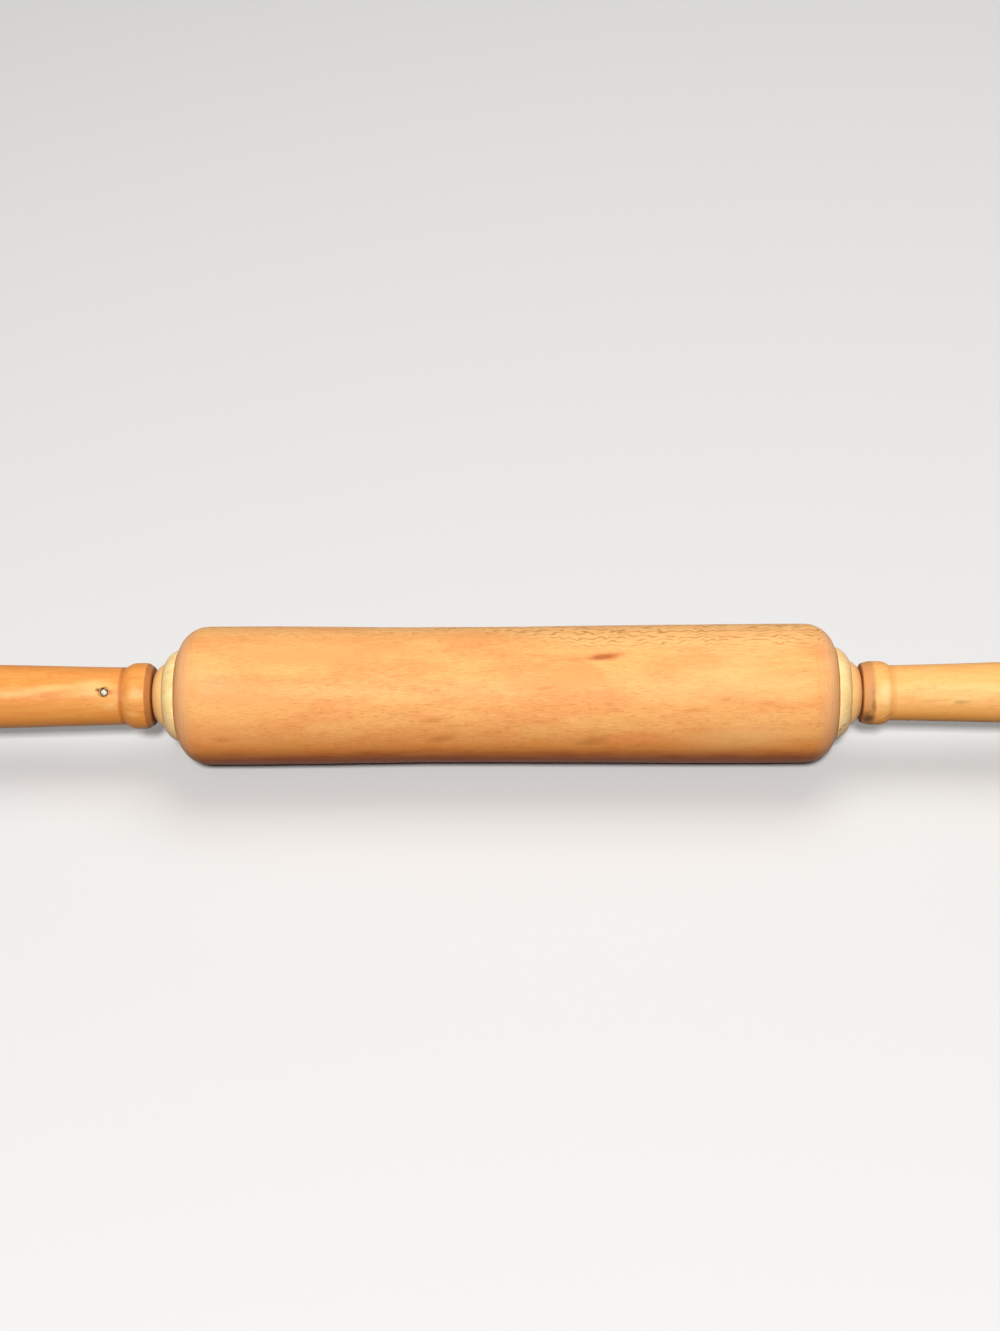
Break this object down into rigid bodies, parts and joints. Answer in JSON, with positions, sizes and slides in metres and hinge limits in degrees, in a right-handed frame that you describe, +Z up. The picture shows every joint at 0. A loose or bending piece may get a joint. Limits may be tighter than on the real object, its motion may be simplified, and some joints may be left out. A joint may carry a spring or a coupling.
{
  "type": "rolling pin",
  "caption": "Wooden rolling pin with a thick barrel that turns freely on a spindle between turned, beaded handles, with stepped collars at the barrel's ends.",
  "frame": {"origin": "on the table, under the middle of the barrel", "axes": "+X along the pin towards the right handle, +Z up, -Y towards the viewer of the picture"},
  "size_m": [0.4572, 0.054, 0.054],
  "materials": {
    "barrel_wood": "satin",
    "collar_wood": "satin",
    "spindle_wood": "matte",
    "left_handle_wood": "satin",
    "right_handle_wood": "satin",
    "nail_steel": "worn"
  },
  "bodies": {
    "roller": {"barrel": "barrel_wood", "left_end_collar": "collar_wood", "right_end_collar": "collar_wood"},
    "handles": {"spindle": "spindle_wood", "left_handle": "left_handle_wood", "right_handle": "right_handle_wood", "left_handle_nail": "nail_steel", "right_handle_nail": "nail_steel"}
  },
  "joints": [
    {"name": "handle_spin", "type": "hinge", "parent": "roller", "child": "handles", "pos_m": [0, 0, 0.027], "axis": [1, 0, 0], "continuous": true}
  ]
}
